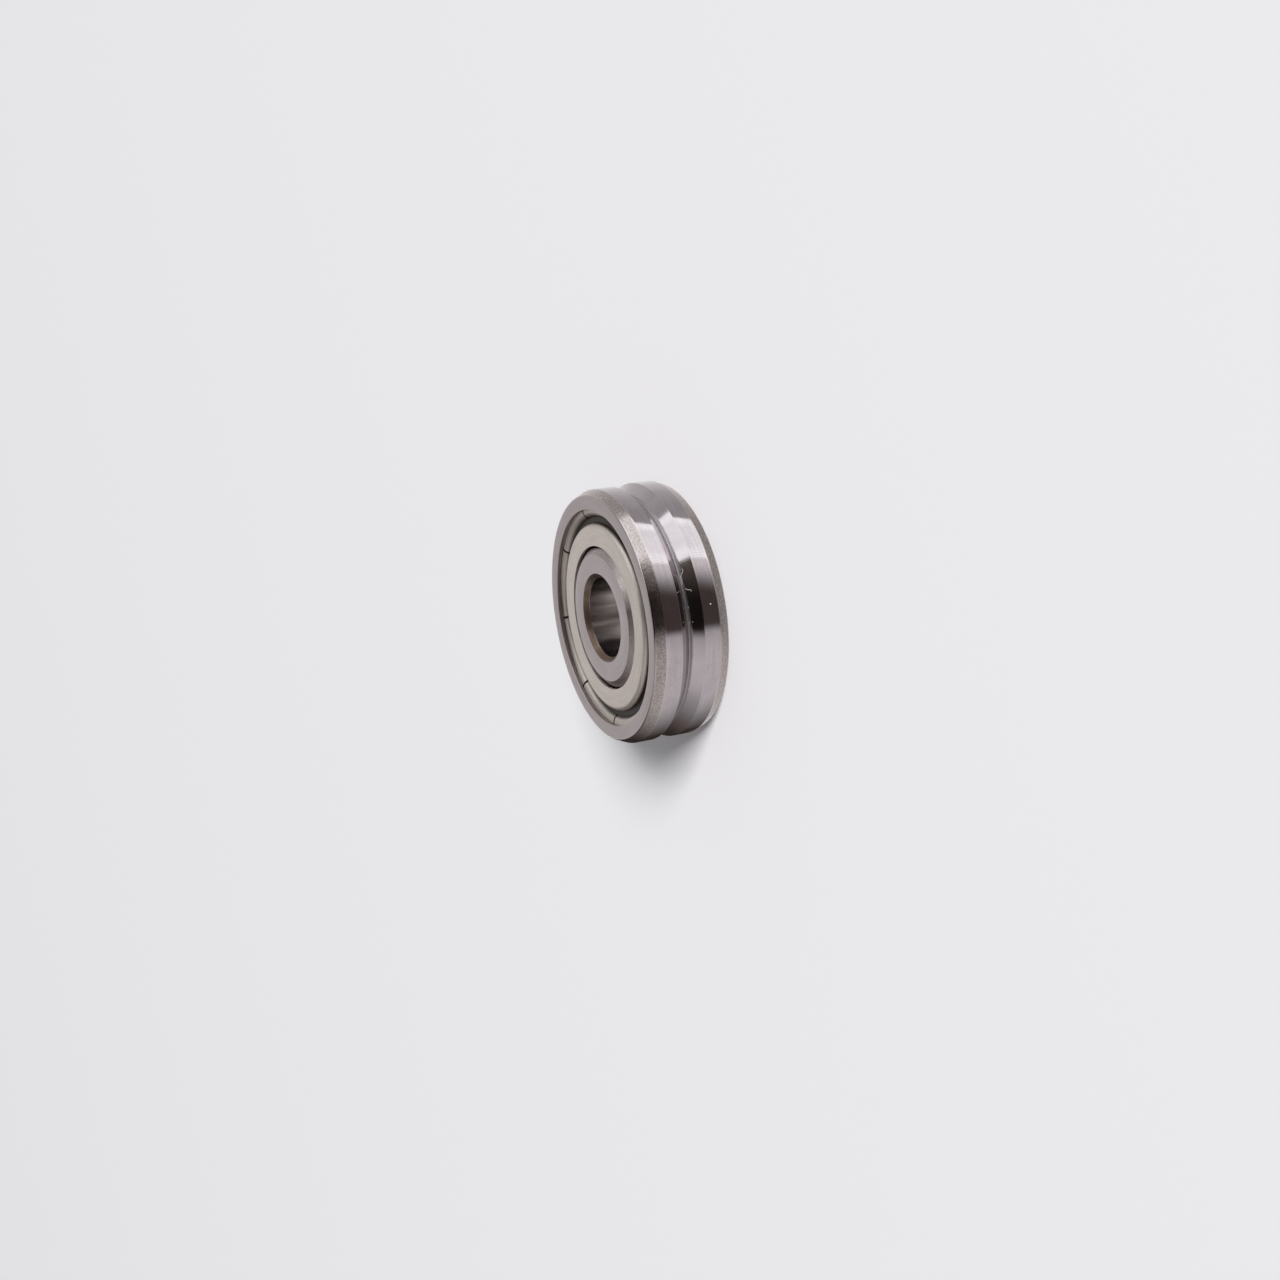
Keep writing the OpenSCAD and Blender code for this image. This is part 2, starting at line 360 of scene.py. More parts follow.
class Wiring:
    """Adds nodes to a tree; a value that is a socket is linked, None is left, others are set."""

    def __init__(self, tree):
        self.tree = tree

    def add(self, kind, *values, **options):
        made = self.tree.nodes.new(kind)
        for name, value in options.items():
            setattr(made, name, value)
        sockets = [socket for socket in made.inputs if socket.enabled]
        for socket, value in zip(sockets, values):
            self.feed(socket, value)
        return made

    def feed(self, socket, value):
        if isinstance(value, bpy.types.NodeSocket):
            self.tree.links.new(value, socket)
        elif value is not None:
            socket.default_value = value

    def take(self, kind, *values, **options):
        """A new node's own output."""
        return self.add(kind, *values, **options).outputs[0]

    def math(self, operation, *values):
        return self.take("ShaderNodeMath", *values, operation=operation)

    def plus(self, first, second):
        return self.math("ADD", first, second)

    def times(self, first, second):
        return self.math("MULTIPLY", first, second)

    def vector(self, operation, *values):
        made = self.add("ShaderNodeVectorMath", *values, operation=operation)
        return made.outputs["Value" if operation in {"DOT_PRODUCT", "LENGTH"} else "Vector"]

    def span(self, value, start, end, low=0.0, high=1.0):
        """A smooth step from low at start to high at end."""
        limits = (start, end, low, high)
        return self.take("ShaderNodeMapRange", value, *limits, interpolation_type="SMOOTHSTEP")

    def mix(self, factor, first, second, data_type):
        made = self.add("ShaderNodeMix", factor, first, second, data_type=data_type)
        return next(socket for socket in made.outputs if socket.enabled)

    def blend(self, factor, first, second):
        """A number from the first to the second as the factor rises."""
        return self.mix(factor, first, second, "FLOAT")

    def tint(self, factor, first, second):
        """A colour from the first to the second as the factor rises."""
        return self.mix(factor, first, second, "RGBA")

    def spot(self, unit):
        """The place on the piece, in the given unit of length."""
        return self.vector("SCALE", self.add("ShaderNodeTexCoord").outputs["Object"], 1 / unit)

    def noise(self, place, scale, detail=2.0, roughness=0.5):
        return self.take("ShaderNodeTexNoise", place, scale, detail, roughness)

    def part(self, tree, **values):
        """A node group with the inputs named here."""
        made = self.add("ShaderNodeGroup", node_tree=tree)
        for name, value in values.items():
            self.feed(made.inputs[name], value)
        return made


def new_group(name, kind, inputs, outputs):
    """A node group with named sockets: its tree, its wiring and its two ends."""
    tree = bpy.data.node_groups.new(name, kind)
    for in_out, sockets in (("INPUT", inputs), ("OUTPUT", outputs)):
        for socket, data in sockets.items():
            tree.interface.new_socket(socket, in_out=in_out, socket_type="NodeSocket" + data)
    wiring = Wiring(tree)
    start = wiring.add("NodeGroupInput")
    end = wiring.add("NodeGroupOutput")
    return tree, wiring, start.outputs, end.inputs


# ---- Geometry trees ----

# Points nearer than this are merged
SEAM = 1e-7

# Edges stay sharp where faces meet at more than this
SHARP_ANGLE = math.radians(40)


def lathe_tree(name, finishes):
    """Turns a section's points round Z and gives each wall the material of its finish."""
    inputs = {"Section": "Geometry", "Points": "Int", "Steps Round": "Int"}
    tree, w, given, result = new_group(name, "GeometryNodeTree", inputs, {"Ring": "Geometry"})
    across_count = w.plus(given["Points"], 1)
    around_count = w.plus(given["Steps Round"], 1)
    grid = w.take("GeometryNodeMeshGrid", 1.0, 1.0, across_count, around_count)
    index = w.take("GeometryNodeInputIndex")
    row = w.math("FLOOR", w.math("DIVIDE", index, around_count))
    column = w.math("SUBTRACT", index, w.times(row, around_count))

    def of_section(value, point, data_type):
        """A value of one of the section's points."""
        section = given["Section"]
        return w.take("GeometryNodeSampleIndex", section, value, point, data_type=data_type)

    position = w.take("GeometryNodeInputPosition")
    corner = of_section(position, w.math("MODULO", row, given["Points"]), "FLOAT_VECTOR")
    place = w.add("ShaderNodeSeparateXYZ", corner).outputs
    turn = w.times(w.math("DIVIDE", column, given["Steps Round"]), math.tau)
    x = w.times(place["X"], w.math("COSINE", turn))
    y = w.times(place["X"], w.math("SINE", turn))
    spot = w.take("ShaderNodeCombineXYZ", x, y, place["Z"])
    turned = w.take("GeometryNodeSetPosition", grid, None, spot)
    wall = w.math("FLOOR", w.math("DIVIDE", index, given["Steps Round"]))
    finish = w.take("GeometryNodeInputNamedAttribute", "finish", data_type="INT")
    kind = of_section(finish, wall, "INT")
    store = {"data_type": "INT", "domain": "FACE"}
    marked = w.take("GeometryNodeStoreNamedAttribute", turned, None, "finish", kind, **store)
    shown = w.take("GeometryNodeMergeByDistance", marked, None, SEAM)
    for i, material in enumerate(finishes):
        same = w.take("FunctionNodeCompare", finish, i, data_type="INT", operation="EQUAL")
        shown = w.take("GeometryNodeSetMaterial", shown, same, material)
    w.feed(result["Ring"], shown)
    return tree


def repeat_tree(name, material):
    """Repeats a sector round Z and joins the copies into one sheet."""
    inputs = {"Sector": "Geometry", "Count": "Int"}
    tree, w, given, result = new_group(name, "GeometryNodeTree", inputs, {"Sheet": "Geometry"})
    places = w.take("GeometryNodePoints", given["Count"])
    index = w.take("GeometryNodeInputIndex")
    turn = w.times(w.math("DIVIDE", index, given["Count"]), math.tau)
    way = w.take("ShaderNodeCombineXYZ", 0.0, 0.0, turn)
    copies = w.take("GeometryNodeInstanceOnPoints", places, None, given["Sector"], None, None, way)
    whole = w.take("GeometryNodeRealizeInstances", copies)
    joined = w.take("GeometryNodeMergeByDistance", whole, None, SEAM)
    w.feed(result["Sheet"], w.take("GeometryNodeSetMaterial", joined, None, material))
    return tree


def settled(draft, name, tree, values):
    """A plain mesh piece from a draft object run through a tree."""
    modifier = draft.modifiers.new("Shape", "NODES")
    modifier.node_group = tree
    names = {item.name: item.identifier for item in tree.interface.items_tree}
    for socket, value in values.items():
        modifier[names[socket]] = value
    return finished(name, mesh_of(draft))


def mesh_of(draft):
    """The shape of a draft object as a plain mesh. The draft is removed."""
    graph = bpy.context.evaluated_depsgraph_get()
    shown = draft.evaluated_get(graph)
    mesh = bpy.data.meshes.new_from_object(shown, preserve_all_data_layers=True, depsgraph=graph)
    bpy.data.objects.remove(draft)
    return mesh


def finished(name, mesh):
    """A piece with its faces outwards, smooth but for its sharp edges."""
    shell = bmesh.new()
    shell.from_mesh(mesh)
    bmesh.ops.recalc_face_normals(shell, faces=shell.faces)
    shell.to_mesh(mesh)
    shell.free()
    mesh.shade_smooth()
    mesh.set_sharp_from_angle(angle=SHARP_ANGLE)
    mesh.name = name
    piece = placed(name, mesh)
    even = piece.modifiers.new("Even", "WEIGHTED_NORMAL")
    even.keep_sharp = True
    return piece


def placed(name, data):
    """An object in the scene, with its mesh, curve, light or camera."""
    made = bpy.data.objects.new(name, data)
    bpy.context.collection.objects.link(made)
    return made


def turned_ring(name, section, finishes):
    """A ring turned from its section, with these finishes."""
    mesh = bpy.data.meshes.new(name)
    mesh.from_pydata([(r, 0, z) for r, z, _ in section], [], [])
    numbers = mesh.attributes.new("finish", "INT", "POINT")
    numbers.data.foreach_set("value", [finishes.index(finish) for _, _, finish in section])
    tree = lathe_tree(f"{name} lathe", [MATERIALS[finish] for finish in finishes])
    values = {"Points": len(section), "Steps Round": settings().ring.steps_round}
    return settled(placed(name, mesh), name, tree, values)


def shield_sector(name, sizes):
    """The part of a shield between the middles of two slits, with half of each slit's walls."""
    upper, lower = ([(r, z) for r, z, _ in side] for side in shield_sides(sizes))
    slit_r = OUTER_LAND_R + sizes.seat_overlap + sizes.slit_start
    upper, upper_slit = split_at(upper, slit_r)
    lower, lower_slit = split_at(lower, slit_r)
    half_turn = math.pi / sizes.slit_count
    steps = sizes.steps_in_lobe

    shell = bmesh.new()

    def rows(side):
        """Points of one side, row by row; a row's two ends lie in the middles of the slits."""
        made = []
        for r, z in side:
            open_turn = half_turn - math.asin(sizes.slit_w / 2 / max(r, slit_r))
            turns = [half_turn + open_turn * (2 * k / steps - 1) for k in range(steps + 1)]
            if r <= slit_r:
                turns = [0.0, *turns, 2 * half_turn]
            row = [shell.verts.new((r * math.cos(turn), r * math.sin(turn), z)) for turn in turns]
            made.append(row if r <= slit_r else [None, *row, None])
        return made

    def strip(first, second):
        """Faces between two rows, left out where a row has no points."""
        for a, b, c, d in zip(first, second, second[1:], first[1:]):
            if None not in (a, b, c, d):
                shell.faces.new((a, b, c, d))

    over, below = rows(upper), rows(lower)
    for side in (over, below):
        for first, second in zip(side, side[1:]):
            strip(first, second)
    strip(over[0], below[0])
    strip(over[-1], below[-1])
    for end in (slice(0, 2), slice(-2, None)):
        strip(over[upper_slit][end], below[lower_slit][end])
    for column in (1, -2):
        rim = [row[column] for row in over[upper_slit:]]
        shell.faces.new(rim + [row[column] for row in below[lower_slit:]][::-1])
    mesh = bpy.data.meshes.new(name)
    shell.to_mesh(mesh)
    shell.free()
    return placed(name, mesh)


def split_at(side, r):
    """A side with a point added at radius r, and that point's number."""
    for i, (first, second) in enumerate(zip(side, side[1:])):
        if first[0] < r <= second[0]:
            t = (r - first[0]) / (second[0] - first[0])
            point = (r, first[1] + t * (second[1] - first[1]))
            return side[: i + 1] + [point] + side[i + 1 :], i + 1
    raise ValueError("the slit starts outside the shield")


# ---- Shader groups: each reads Object coordinates, in millimetres ----

# What says where stains and painted shade lie, in millimetres
EXTENT = ("Clean Radius", "Dirty Radius", "Clean Height", "Dirty Height", "Wander")

GRAIN_DETAIL = 3.0
GRAIN_ROUGHNESS = 0.65

# Noise that bends the edge of stains and painted shade, in waves per millimetre
COVER_EDGE_WAVES = 1.5

# Chatter: how flat its noise lies along the axis, how its lines drift as they go round, and where
# patches of them begin to show
CHATTER_STRETCH = 0.15
DRIFT_WAVES = 6.0
DRIFT = 9.0
PATCH_WAVES = 9.0
PATCH_EDGE = (0.47, 0.62)


def mask_group(name, outputs, inputs):
    """A shader group that makes numbers from numbers; inputs gives their usual values."""
    sockets = (dict.fromkeys(names, "Float") for names in (inputs, outputs))
    made = new_group(name, "ShaderNodeTree", *sockets)
    for item in made[0].interface.items_tree:
        item.default_value = inputs.get(item.name, 0.0)
    return made


def place_group():
    """Where a point is on the wheel: radius, height, and angle round the axis."""
    tree, w, _, result = mask_group("Wheel place", ("Radius", "Height", "Angle"), {})
    x, y, z = w.add("ShaderNodeSeparateXYZ", w.spot(MM)).outputs
    square = w.plus(w.times(x, x), w.times(y, y))
    w.feed(result["Radius"], w.math("SQRT", square))
    w.feed(result["Height"], z)
    w.feed(result["Angle"], w.math("ARCTAN2", y, x))
    return tree


def lines_group(place):
    """Fine lines with their own density round, across and along the wheel."""
    density = {"Per Radius": 8.0, "Per Height": 8.0, "Per Radian": 3.0, "Detail": 3.0}
    tree, w, given, result = mask_group("Tool lines", ("Lines",), density)
    at = w.part(place).outputs
    # The angle turns into a point on a circle, so the lines close up where the angle jumps
    bend = given["Per Radian"]
    x = w.times(w.math("COSINE", at["Angle"]), bend)
    y = w.times(w.math("SINE", at["Angle"]), bend)
    along_radius = w.times(at["Radius"], given["Per Radius"])
    along_axis = w.times(at["Height"], given["Per Height"])
    spot = w.take("ShaderNodeCombineXYZ", x, y, w.plus(along_radius, along_axis))
    w.feed(result["Lines"], w.noise(spot, 1.0, given["Detail"]))
    return tree


def chatter_group(place):
    """The grinding wheel's chatter: a whole number of lines round the wheel, along its axis."""
    inputs = {"Lines Round": 300.0, "Slant": 0.6}
    tree, w, given, result = mask_group("Chatter", ("Chatter",), inputs)
    at = w.part(place).outputs
    x = w.math("COSINE", at["Angle"])
    y = w.math("SINE", at["Angle"])
    height = w.times(at["Height"], CHATTER_STRETCH)
    spot = w.take("ShaderNodeCombineXYZ", x, y, height)
    drift = w.times(w.noise(spot, DRIFT_WAVES), DRIFT)
    slant = w.times(at["Height"], given["Slant"])
    phase = w.math("MULTIPLY_ADD", at["Angle"], given["Lines Round"], w.plus(drift, slant))
    wave = w.math("MULTIPLY_ADD", w.math("SINE", phase), 0.5, 0.5)
    patches = w.span(w.noise(spot, PATCH_WAVES), *PATCH_EDGE)
    w.feed(result["Chatter"], w.times(patches, wave))
    return tree


def grain_group():
    """Grain in grains per millimetre, and slow blotches over it."""
    inputs = {"Grains": 20.0, "Blotches": 0.6}
    tree, w, given, result = mask_group("Metal grain", ("Grain", "Blotch"), inputs)
    point = w.spot(MM)
    w.feed(result["Grain"], w.noise(point, given["Grains"], GRAIN_DETAIL, GRAIN_ROUGHNESS))
    w.feed(result["Blotch"], w.noise(point, given["Blotches"], GRAIN_DETAIL))
    return tree


def stain_and_shade_group(place):
    """Stains and painted shade: a mask from none to full over a radius and a height, with an uneven
    edge.
    """
    tree, w, given, result = mask_group("Stain and painted shade", ("Dirt",), dict.fromkeys(EXTENT, 1.0))
    at = w.part(place).outputs
    uneven = w.math("SUBTRACT", w.noise(w.spot(MM), COVER_EDGE_WAVES), 0.5)
    wander = w.times(uneven, given["Wander"])
    radius = w.plus(at["Radius"], wander)
    height = w.plus(w.math("ABSOLUTE", at["Height"]), wander)
    in_radius = w.span(radius, given["Clean Radius"], given["Dirty Radius"])
    in_height = w.span(height, given["Clean Height"], given["Dirty Height"])
    w.feed(result["Dirt"], w.times(in_radius, in_height))
    return tree


# The roughness of steel under stains and painted shade
DULL = 0.5

# Where most of a noise lies, and the narrower span that gives a tumbled surface its pits
NOISE_SPAN = (0.3, 0.7)
PIT_SPAN = (0.34, 0.66)

# A ground surface: the tones of its colour, the tone of its chatter, and how much the grain counts
# against the lines, the blotches against both, and the chatter against all three
GROUND_TONES = (0.90, 1.07)
CHATTER_TONE = 0.62
GRAIN_SHARE = 0.4
BLOTCH_SHARE = 0.5
CHATTER_SHARE = 0.3
RELIEF_GRAIN_SHARE = 0.25


class Steel:
    """A metal whose colour, roughness and relief come from its own marks, and in places from
    painted shade and painted reflections.
    """

    def __init__(self, name, colour_value):
        self.material = bpy.data.materials.new(name)
        self.material.use_nodes = True
        self.w = Wiring(self.material.node_tree)
        self.shader = self.material.node_tree.nodes["Principled BSDF"]
        self.shader.inputs["Metallic"].default_value = 1.0
        self.base = Vector(colour_value)
        self.colour = None
        self.roughness = None

    def shade(self, share_value):
        return (*(min(1.0, c * share_value) for c in self.base), 1.0)

    def paint(self, mask, dark, light):
        """The steel's colour, from dark to light of its own as the mask rises."""
        self.colour = self.w.tint(mask, self.shade(dark), self.shade(light))

    def rough(self, mask, low, high):
        """Roughness from low to high as the mask rises."""
        self.roughness = self.w.take("ShaderNodeMapRange", mask, *NOISE_SPAN, low, high)

    def stain(self, mask, tone):
        """Covers the steel with a dull tone where the mask is full; it lays stains and painted
        shade.
        """
        self.colour = self.w.tint(mask, self.colour, (*tone, 1.0))
        self.roughness = self.w.blend(mask, self.roughness, DULL)

    def relief(self, height, depth_mm):
        """A bump of the given depth."""
        bump = self.w.add("ShaderNodeBump")
        bump.inputs["Distance"].default_value = depth_mm * MM
        self.w.feed(bump.inputs["Height"], height)
        self.w.feed(self.shader.inputs["Normal"], bump.outputs["Normal"])

    def done(self):
        self.w.feed(self.shader.inputs["Base Color"], self.colour)
        self.w.feed(self.shader.inputs["Roughness"], self.roughness)
        return self.material


def ground_steel(groups, name, colour_value, low, high, depth, chatter=0.0, stains=()):
    """A ground surface: fine lines over slow blotches, with chatter, and stains and painted shade
    where it has any.
    """
    steel = Steel(name, colour_value)
    w = steel.w
    lines = w.part(groups["lines"]).outputs["Lines"]
    grain = w.part(groups["grain"], Grains=14.0, Blotches=0.5).outputs
    marks = w.blend(GRAIN_SHARE, lines, grain["Grain"])
    steel.paint(w.span(marks, *NOISE_SPAN), *GROUND_TONES)
    worn = w.blend(BLOTCH_SHARE, marks, grain["Blotch"])
    if chatter:
        waves = w.part(groups["chatter"]).outputs["Chatter"]
        dark = steel.shade(CHATTER_TONE)
        steel.colour = w.tint(w.times(waves, chatter), steel.colour, dark)
        worn = w.blend(CHATTER_SHARE, worn, waves)
    steel.rough(worn, low, high)
    steel.relief(w.blend(RELIEF_GRAIN_SHARE, lines, grain["Grain"]), depth)
    for extent, tone, amount in stains:
        mask = w.part(groups["stain_and_shade"], **dict(zip(EXTENT, extent))).outputs["Dirt"]
        steel.stain(w.times(mask, amount), tone)
    return steel.done()


def coarse_steel(groups, name, colour_value, low, high, depth, dark=0.74, light=1.17):
    """A tumbled surface: coarse grain with darker pits between bright points."""
    steel = Steel(name, colour_value)
    grain = steel.w.part(groups["grain"], Grains=9.0, Blotches=1.2).outputs
    steel.paint(steel.w.span(grain["Grain"], *PIT_SPAN), dark, light)
    steel.rough(grain["Blotch"], low, high)
    steel.relief(grain["Grain"], depth)
    return steel.done()


# Painted reflections of the bore: bands of tone from its foot (-1) to its top (1) in the picture,
# where each step starts and ends, and what it adds to the tone before it and after it
BORE_PAINTED_REFLECTIONS = (
    (-0.68, -0.56, 0.32, 1.0),
    (-0.36, -0.28, 0.0, -0.36),
    (-0.20, -0.08, 0.0, -0.30),
    (0.14, 0.24, 0.0, 0.44),
    (0.48, 0.70, 0.0, -0.58),
)

# How far the edges of those bands wander
BAND_WANDER = 0.10

# Where stains and painted shade lie, as EXTENT tells it, their tone, and how much they cover
# Painted shade: darker, duller steel along the groove's root
ROOT_PAINTED_SHADE = ((7.45, 7.35, 3.0, 2.9, 0.05), (0.38, 0.345, 0.35), 0.9)
# Painted shade: a darker shield on the shoulder's fall, the trough and the rim's lobes
LOBE_PAINTED_SHADE = ((5.5, 5.7, 2.38, 2.31, 0.05), (0.16, 0.13, 0.11), 0.25)
# Painted shade: near black in the bottom of the trough
TROUGH_PAINTED_SHADE = ((6.58, 6.38, 2.20, 1.95, 0.05), (0.055, 0.047, 0.042), 0.93)
BORE_STAIN = ((3.2, 2.6, 3.0, 2.2, 1.0), (0.165, 0.102, 0.062), 0.8)


def bore_painted_reflections(groups, name, colour_value, low, high):
    """The bore, with painted reflections: bands of tone that run along the axis, set by height in
    the picture.
    """
    steel = Steel(name, colour_value)
    w = steel.w
    # Height in the picture, which sets the bands of painted reflection
    level = w.vector("DOT_PRODUCT", w.spot(BORE_R), wheel_way(UP_TURN))
    grain = w.part(groups["grain"], Grains=6.0, Blotches=1.0).outputs
    wander = w.math("MULTIPLY_ADD", grain["Blotch"], BAND_WANDER, -BAND_WANDER / 2)
    level = w.plus(level, wander)
    tone = w.span(level, *BORE_PAINTED_REFLECTIONS[0])
    for band in BORE_PAINTED_REFLECTIONS[1:]:
        tone = w.plus(tone, w.span(level, *band))
    steel.paint(tone, 0.0, 1.0)
    steel.rough(grain["Grain"], low, high)
    return steel.done()


# Fluff: the waves of its noise per millimetre, its tones and its roughness
FLUFF_WAVES = 10.0
FLUFF_TONES = (0.8, 1.1)
FLUFF_ROUGHNESS = (0.8, 0.95)


def lint_material(colour_value):
    """Pale fluff, a little uneven."""
    fluff = Steel("Lint", colour_value)
    fluff.shader.inputs["Metallic"].default_value = 0.0
    marks = fluff.w.noise(fluff.w.spot(MM), FLUFF_WAVES)
    fluff.paint(marks, *FLUFF_TONES)
    fluff.rough(marks, *FLUFF_ROUGHNESS)
    return fluff.done()


def make_materials():
    """Every finish of the wheel, by name: least and greatest roughness, then relief in mm."""
    place = place_group()
    groups = {
        "lines": lines_group(place),
        "chatter": chatter_group(place),
        "grain": grain_group(),
        "stain_and_shade": stain_and_shade_group(place),
    }
    steel = settings().steel
    ground = partial(ground_steel, groups)
    coarse = partial(coarse_steel, groups)
    return {
        "land": ground("Ground land", steel.ground, 0.07, 0.14, 0.0004, chatter=0.3),
        # The flanks carry painted shade along the groove's root
        "flank": ground(
            "Ground flank", steel.flank, 0.07, 0.13, 0.0004, chatter=0.1, stains=[ROOT_PAINTED_SHADE]
        ),
        "face": ground("Ground face", steel.face, 0.26, 0.38, 0.001),
        "hub": ground("Hub face", steel.hub, 0.26, 0.38, 0.001),
        "hub_chamfer": coarse(
            "Hub chamfer", steel.chamfer, 0.32, 0.45, 0.003, dark=0.82, light=1.08
        ),
        # The bore's bands are painted reflections, set by height in the picture
        "bore": bore_painted_reflections(groups, "Bore painted reflections", steel.bore, 0.22, 0.26),
        "bore_chamfer": ground(
            "Bore chamfer", steel.bore_chamfer, 0.30, 0.42, 0.002, stains=[BORE_STAIN]
        ),
        "race": ground("Ground race", steel.ground, 0.08, 0.12, 0.0003),
        "recess": ground("Turned recess", steel.chamfer, 0.3, 0.45, 0.002),
        "edge": ground("Worn edge", steel.face, 0.12, 0.20, 0.0005),
        "chamfer": coarse("Tumbled chamfer", steel.chamfer, 0.16, 0.27, 0.005),
        # The shields carry painted shade on the shoulder's fall, the rim's lobes and the trough's
        # bottom
        "shield": ground(
            "Pressed sheet", steel.shield, 0.44, 0.54, 0.001, stains=[LOBE_PAINTED_SHADE, TROUGH_PAINTED_SHADE]
        ),
        "ball": ground("Polished ball", steel.ball, 0.03, 0.06, 0.0001),
        "cage": ground("Cage sheet", steel.cage, 0.28, 0.42, 0.002),
        "lint": lint_material(steel.lint),
        "rivet": coarse("Rivet head", steel.cage, 0.3, 0.45, 0.003, dark=0.7, light=1.1),
    }


# What make_materials gave, for the pieces to use
MATERIALS = {}

# Where lint lies: turns in degrees from the near side, and heights and widths in millimetres
FIBRES = (
    ((19.7, -0.22), (18.7, -0.29), (16.6, -0.04), (14.5, -0.08), (12.6, -0.06)),
    ((10.3, -0.15), (9.1, -0.26), (9.6, -0.33), (8.5, -0.40)),
)
SPECKS = ((1.3, -0.12, 0.055), (-5.6, -0.24, 0.045), (-6.0, -0.10, 0.05), (1.4, -1.34, 0.09))

# Half the width of the groove's rounded root that counts as flat, over the root's radius
ROOT_FLAT = 1 / 3


def on_wheel(turn, z_mm, lift):
    """A point on the groove or the lands, lifted off the steel."""
    sizes = settings().ring
    z = z_mm * MM
    half = sizes.groove_open / 2
    away = max(abs(z), sizes.groove_root_r * ROOT_FLAT)
    depth = max(0.0, half - away) / math.tan(sizes.groove_angle / 2)
    place = wheel_way(NEAR_TURN + math.radians(turn)) * (OUTER_R - depth + lift)
    place.z = z
    return place


# ---- The studio ----

# What the steel mirrors is told by how far a direction points up, near and left in the picture,
# each from -1 to 1. A plane below gives the shares of these three. The others are smooth steps:
# a start, an end, and where they aren't 0 and 1, the values there
FRONT_PLANE = (0.055, 1.0, 0.29)
FRONT_EDGE = (-0.02, 0.02)
RIGHT_END = (-0.92, -0.62)
RIGHT_END_LIGHT = 0.40
LEFT_END = (0.4, 0.62, 1.0, 0.9)
ROOM_LIGHT = (0.9, -0.4, 0.010, 0.07)
GLOW_RISE = (-0.6, 0.05)
GLOW_LIGHT = (0.9, -0.3, 0.09, 1.0)

# The soft box, which is brighter along its foot and its side
BOX_PLANE = (1.0, -0.925, -0.173)
BOX_EDGE = (0.03, 0.09)
BOX_FOOT = (0.36, 0.16)
BOX_SIDE = (0.18, 0.06)
BOX_LIGHT = 1.45
BOX_RIM_LIGHT = 0.3

# The wall's light, and what is added along the line of sight: by how far left, and everywhere
WALL_LIGHT = 0.48
WALL_SLOPE = (-0.45, 0.33)

TABLE_EDGE = (-0.27, -0.40)
TABLE_LIGHT = (-0.3, -0.65, 0.6, 0.79)
SHADOW_DEPTH = (-0.9, 0.15, 0.05)
SHADOW_END = (-0.40, -0.52)
DIP_START = (0.1, 0.35)
DIP_END = (0.65, 0.45)
DIP_TONE = 0.78

CORNER_DEPTH = (-0.70, -0.85)
CORNER_TOP = (0.06, -0.06)
CORNER_LEFT = (0.1, -0.2)
CORNER_RIGHT = (-0.46, -0.40)
CORNER_LIGHT = 0.03

# The colours of the light: plain, cool in the soft box, and brown where it is dim
WHITE = (1.0, 1.0, 1.0, 1.0)
BOX_WHITE = (0.97, 1.02, 1.03, 1.0)
GLOOM_BROWN = (1.16, 0.96, 0.88, 1.0)
WARM_BELOW = (0.25, 0.08)

# The lamp: its turn from the near side, its height over the floor, its distance and width in metres
LAMP_TURN = math.radians(28)
LAMP_RISE = math.radians(31)
LAMP_AWAY = 6.0
LAMP_SIZE = 2.3

# The camera sees nothing nearer than this, in metres
NEAR_CLIP = 0.01


# ---- Operators ----


class WheelOperator:
    """What the wheel's operators share."""

    bl_options = {"REGISTER", "UNDO"}


class WHEEL_OT_materials(WheelOperator, bpy.types.Operator):
    """Make the finishes of the steels"""

    bl_idname = "wheel.materials"
    bl_label = "Finishes"

    def execute(self, context):
        MATERIALS.update(make_materials())
        return {"FINISHED"}


class WHEEL_OT_outer_ring(WheelOperator, bpy.types.Operator):
    """Turn the grooved outer ring"""

    bl_idname = "wheel.outer_ring"
    bl_label = "Outer ring"

    def execute(self, context):
        section = outer_ring_section(settings().ring)
        finishes = ("flank", "land", "chamfer", "edge", "face", "recess", "race")
        ring = turned_ring("grooved_ring", section, finishes)
        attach(ring, "wheel")
        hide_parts("outer_ring")
        return {"FINISHED"}


class WHEEL_OT_inner_ring(WheelOperator, bpy.types.Operator):
    """Turn the inner ring"""

    bl_idname = "wheel.inner_ring"
    bl_label = "Inner ring"

    def execute(self, context):
        section = inner_ring_section(settings().ring)
        finishes = ("race", "edge", "hub_chamfer", "hub", "bore_chamfer", "bore")
        ring = turned_ring("hub_ring", section, finishes)
        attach(ring, "hub")
        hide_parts("inner_ring")
        return {"FINISHED"}


class WHEEL_OT_shields(WheelOperator, bpy.types.Operator):
    """Press the two shields, with their slit and crimped rims"""

    bl_idname = "wheel.shields"
    bl_label = "Shields"

    def execute(self, context):
        sizes = settings().shield
        tree = repeat_tree("Shield repeat", MATERIALS["shield"])
        for side, rear in (("front", False), ("rear", True)):
            draft = shield_sector(f"{side} sector", sizes)
            if rear:
                draft.data.transform(Matrix.Scale(-1, 4, (0, 0, 1)))
                draft.data.flip_normals()
            values = {"Count": sizes.slit_count}
            shield = settled(draft, f"{side}_shield", tree, values)
            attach(shield, "wheel")
            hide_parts(f"shield_{side}")
        return {"FINISHED"}


class WHEEL_OT_inside(WheelOperator, bpy.types.Operator):
    """Finish the balls, the cage and its rivets"""

    bl_idname = "wheel.inside"
    bl_label = "Balls and cage"

    def execute(self, context):
        for name, node in frame["nodes"].items():
            kind = next((k for k in ("ball", "cage_rivets", "cage") if name.startswith(k)), None)
            if kind:
                node.data.materials.clear()
                node.data.materials.append(MATERIALS["rivet" if kind == "cage_rivets" else kind])
        return {"FINISHED"}


